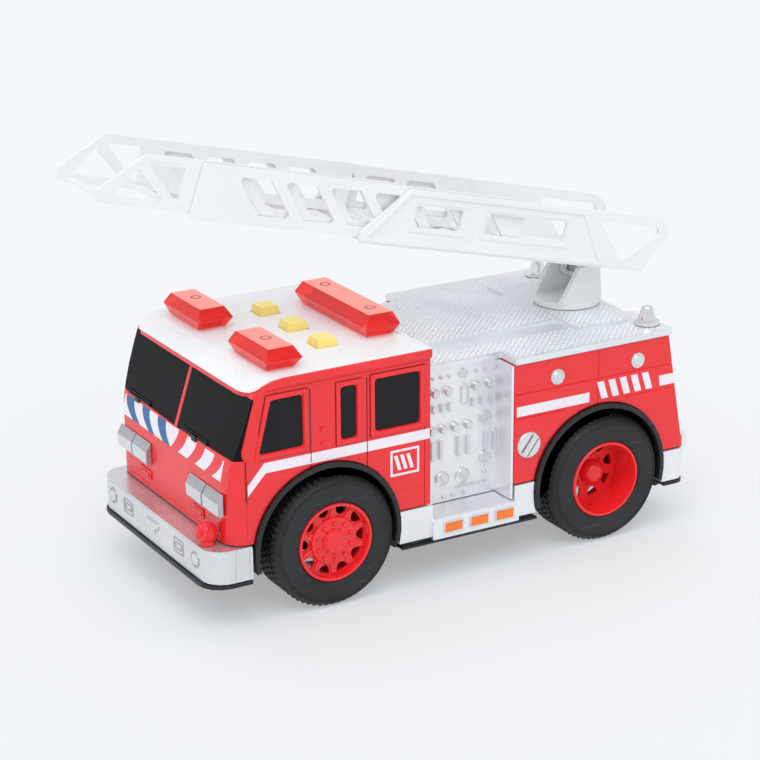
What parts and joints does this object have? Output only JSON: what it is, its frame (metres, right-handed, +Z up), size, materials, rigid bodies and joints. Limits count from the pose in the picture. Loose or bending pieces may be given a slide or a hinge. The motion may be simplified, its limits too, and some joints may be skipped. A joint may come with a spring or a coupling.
{
  "type": "toy fire engine",
  "caption": "Toy fire engine with rolling wheels, roof push buttons and an extending ladder on a swivelling turntable.",
  "frame": {"origin": "on the ground, midway along the overall length and width at rest", "axes": "+X forward, +Y to the vehicle's left, +Z up"},
  "size_m": [0.3314, 0.1362, 0.2354],
  "materials": {
    "red_plastic": "glossy moulded red plastic",
    "white_plastic": "satin moulded white plastic",
    "silver_plastic": "silver-painted moulded plastic",
    "black_plastic": "satin moulded black plastic",
    "glossy_black": "glossy black plastic",
    "black_rubber": "matt moulded rubber",
    "yellow_plastic": "satin moulded yellow plastic",
    "clear_red_plastic": "translucent red plastic",
    "circuit_board": "green circuit board",
    "plated_steel": "plated metal",
    "chromed_plastic": "chromed plastic"
  },
  "bodies": {
    "vehicle": {"cab_shell": "red_plastic", "rear_body": "red_plastic", "siren": "red_plastic", "cab_roof": "white_plastic", "deck": "silver_plastic", "front_bumper": "silver_plastic", "rear_bumper": "silver_plastic", "headlight_left": "silver_plastic", "headlight_right": "silver_plastic", "side_step_left": "silver_plastic", "side_step_right": "silver_plastic", "pump_panel_left": "silver_plastic", "pump_panel_right": "silver_plastic", "chassis": "black_plastic", "battery_cover": "black_plastic", "speaker": "black_plastic", "wheel_arch_front_left": "black_plastic", "wheel_arch_front_right": "black_plastic", "wheel_arch_rear_left": "black_plastic", "wheel_arch_rear_right": "black_plastic", "windscreen_left": "glossy_black", "windscreen_right": "glossy_black", "door_window_left": "glossy_black", "door_window_right": "glossy_black", "narrow_window_left": "glossy_black", "narrow_window_right": "glossy_black", "rear_window_left": "glossy_black", "rear_window_right": "glossy_black", "rear_light_bar": "clear_red_plastic", "front_light_left": "clear_red_plastic", "front_light_right": "clear_red_plastic", "circuit_board": "circuit_board", "battery_1": "plated_steel", "battery_2": "plated_steel", "battery_3": "plated_steel", "chassis_screw_1": "plated_steel", "chassis_screw_2": "plated_steel", "chassis_screw_3": "plated_steel", "chassis_screw_4": "plated_steel", "beacon_left": "chromed_plastic", "beacon_right": "chromed_plastic"},
    "front_wheels": {"front_axle": "plated_steel", "front_rim_left": "red_plastic", "front_rim_right": "red_plastic", "front_tyre_left": "black_rubber", "front_tyre_right": "black_rubber"},
    "rear_wheels": {"rear_axle": "plated_steel", "rear_rim_left": "red_plastic", "rear_rim_right": "red_plastic", "rear_tyre_left": "black_rubber", "rear_tyre_right": "black_rubber"},
    "turntable": {"turntable": "white_plastic", "ladder_pin": "plated_steel"},
    "ladder_base": {"ladder_base": "white_plastic"},
    "ladder_middle": {"ladder_middle": "white_plastic"},
    "ladder_fly": {"ladder_fly": "white_plastic"},
    "button_left": {"button_left": "yellow_plastic"},
    "button_middle": {"button_middle": "yellow_plastic"},
    "button_right": {"button_right": "yellow_plastic"},
    "power_switch": {"power_switch": "black_plastic"}
  },
  "joints": [
    {"name": "front_wheels_spin", "type": "hinge", "parent": "vehicle", "child": "front_wheels", "pos_m": [0.063, 0, 0.0349], "axis": [0, 1, 0], "continuous": true},
    {"name": "rear_wheels_spin", "type": "hinge", "parent": "vehicle", "child": "rear_wheels", "pos_m": [-0.102, 0, 0.0349], "axis": [0, 1, 0], "continuous": true},
    {"name": "turntable_swivel", "type": "hinge", "parent": "vehicle", "child": "turntable", "pos_m": [-0.12, 0, 0.1148], "axis": [0, 0, 1], "continuous": true},
    {"name": "ladder_raise", "type": "hinge", "parent": "turntable", "child": "ladder_base", "pos_m": [-0.127, 0, 0.131], "axis": [0, -1, 0], "range_deg": [-11, 26]},
    {"name": "middle_section_slide", "type": "slide", "parent": "ladder_base", "child": "ladder_middle", "axis": [0.9724, 0, 0.2334], "range_m": [-0.088, 0.03]},
    {"name": "fly_section_slide", "type": "slide", "parent": "ladder_middle", "child": "ladder_fly", "axis": [0.9724, 0, 0.2334], "range_m": [-0.045, 0.05]},
    {"name": "button_left_press", "type": "slide", "parent": "vehicle", "child": "button_left", "axis": [0, 0, -1], "range_m": [0, 0.0025], "stiffness_N_per_m": 400, "springref_m": -0.0004},
    {"name": "button_middle_press", "type": "slide", "parent": "vehicle", "child": "button_middle", "axis": [0, 0, -1], "range_m": [0, 0.0025], "stiffness_N_per_m": 400, "springref_m": -0.0004},
    {"name": "button_right_press", "type": "slide", "parent": "vehicle", "child": "button_right", "axis": [0, 0, -1], "range_m": [0, 0.0025], "stiffness_N_per_m": 400, "springref_m": -0.0004},
    {"name": "power_switch_slide", "type": "slide", "parent": "vehicle", "child": "power_switch", "axis": [1, 0, 0], "range_m": [0, 0.0055]}
  ]
}
